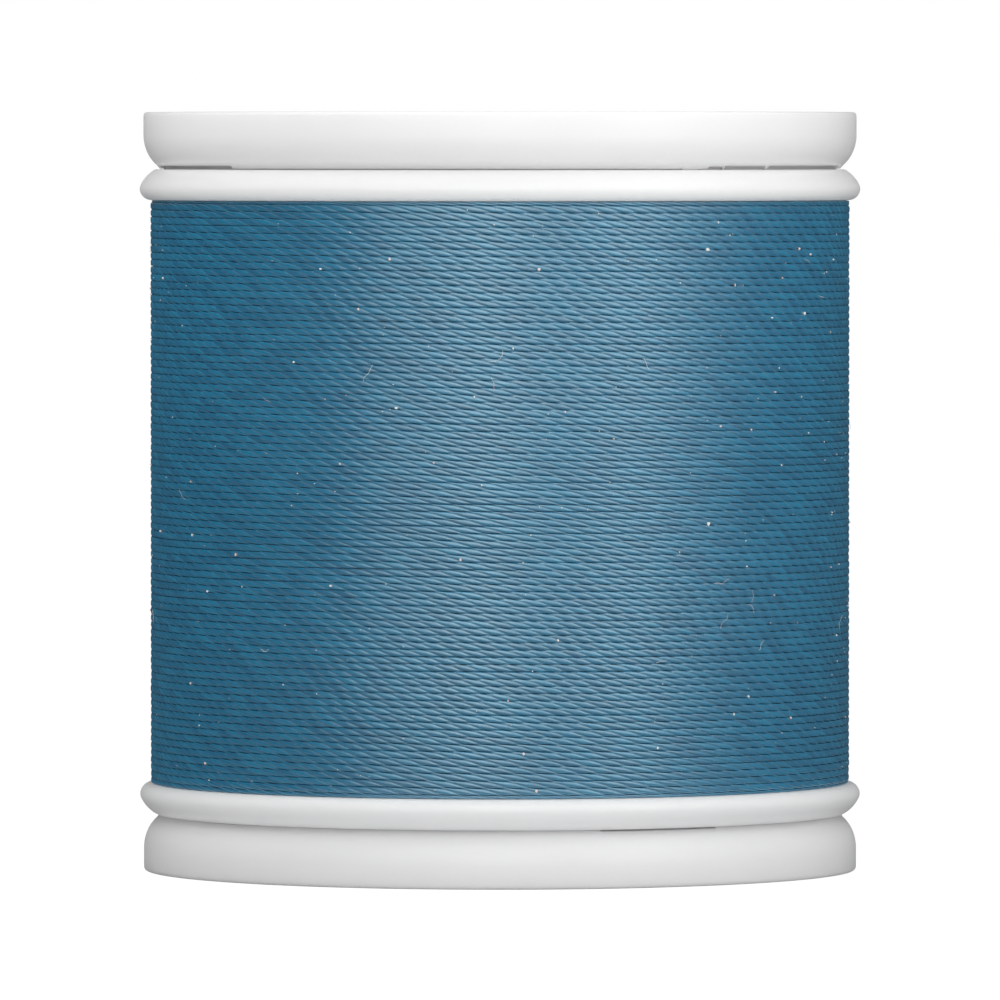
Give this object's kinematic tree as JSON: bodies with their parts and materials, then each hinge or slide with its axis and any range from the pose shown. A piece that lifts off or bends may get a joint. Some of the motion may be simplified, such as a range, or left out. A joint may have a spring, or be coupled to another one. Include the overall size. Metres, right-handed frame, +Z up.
{
  "type": "snap-lock thread spool",
  "caption": "Cylindrical spool wound with twisted sewing thread, with a hollow beaded barrel and a snap-in cap at each end that pulls out to store the loose thread end.",
  "frame": {"origin": "middle of the lower cap's outer face, which the spool stands on", "axes": "+Z up along the spool's axis, from the lower cap to the upper cap; -Y faces the camera of the picture, and the tail crosses the bead at the back, on the +Y side"},
  "size_m": [0.0384, 0.0384, 0.0404],
  "materials": {
    "barrel_plastic": "white moulded plastic, soft gloss",
    "cap_plastic": "white moulded plastic, soft gloss",
    "label_paper": "blank matt paper",
    "thread": "lustrous teal-blue twisted thread"
  },
  "bodies": {
    "spool_body": {"barrel": "barrel_plastic", "thread_inner_layers": "thread", "thread_outer_layer": "thread", "thread_tail": "thread"},
    "lower_cap_body": {"lower_cap": "cap_plastic", "lower_label": "label_paper"},
    "upper_cap_body": {"upper_cap": "cap_plastic", "upper_label": "label_paper"}
  },
  "joints": [
    {"name": "lower_cap_slide", "type": "slide", "parent": "spool_body", "child": "lower_cap_body", "axis": [0, 0, -1], "range_m": [0, 0.003]},
    {"name": "upper_cap_slide", "type": "slide", "parent": "spool_body", "child": "upper_cap_body", "axis": [0, 0, 1], "range_m": [0, 0.003]}
  ]
}
